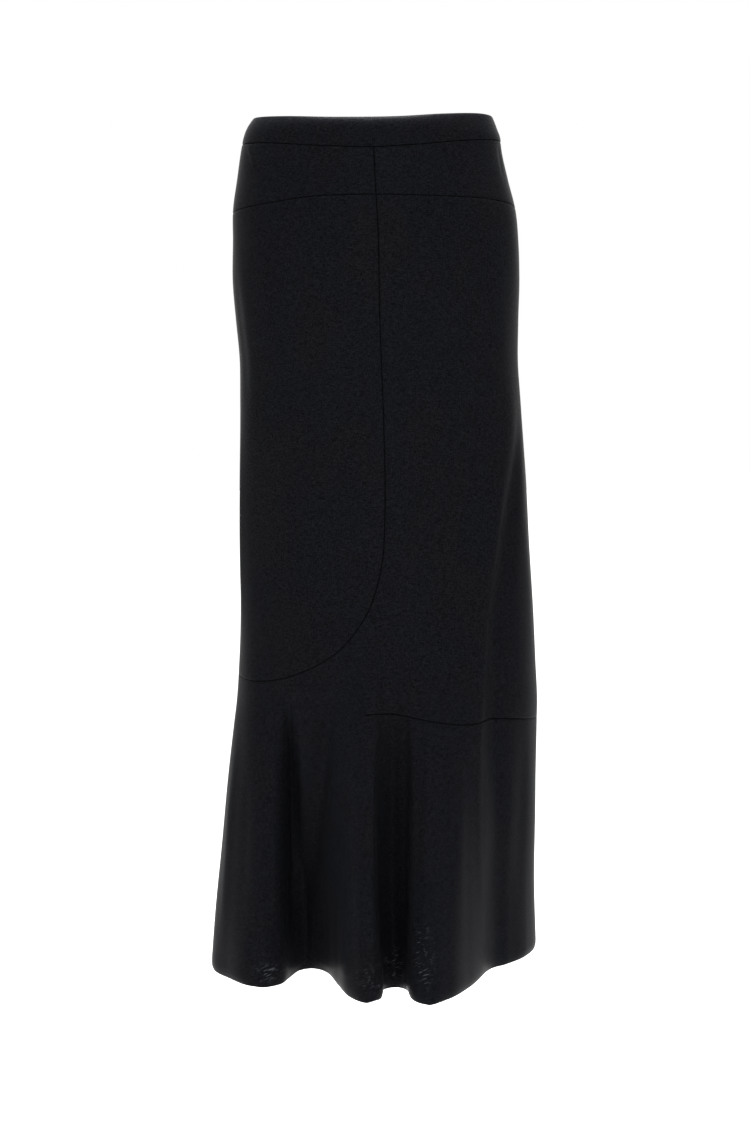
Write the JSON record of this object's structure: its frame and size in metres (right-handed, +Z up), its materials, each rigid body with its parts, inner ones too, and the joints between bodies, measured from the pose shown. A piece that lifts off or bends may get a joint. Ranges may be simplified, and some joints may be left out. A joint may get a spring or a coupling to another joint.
{
  "type": "panelled maxi skirt",
  "caption": "Dark maxi skirt with a waistband, hip yoke, curved and slashed front seams and a fluted hem, kept hollow as worn.",
  "frame": {"origin": "middle of the waist opening at the waist line, where the wearer holds the skirt", "axes": "+Z up along the skirt, -Y to the wearer's front, +X to the right in a front view"},
  "size_m": [0.3758, 0.39, 0.9651],
  "materials": {
    "crepe": "matt near-black crepe with a faint sheen at grazing angles"
  },
  "bodies": {
    "root": {"waistband_front": "crepe", "waistband_back": "crepe", "yoke_front_left": "crepe", "yoke_front_right": "crepe", "yoke_back": "crepe", "front_left_panel": "crepe", "front_right_panel": "crepe", "back_panel": "crepe"}
  },
  "joints": []
}
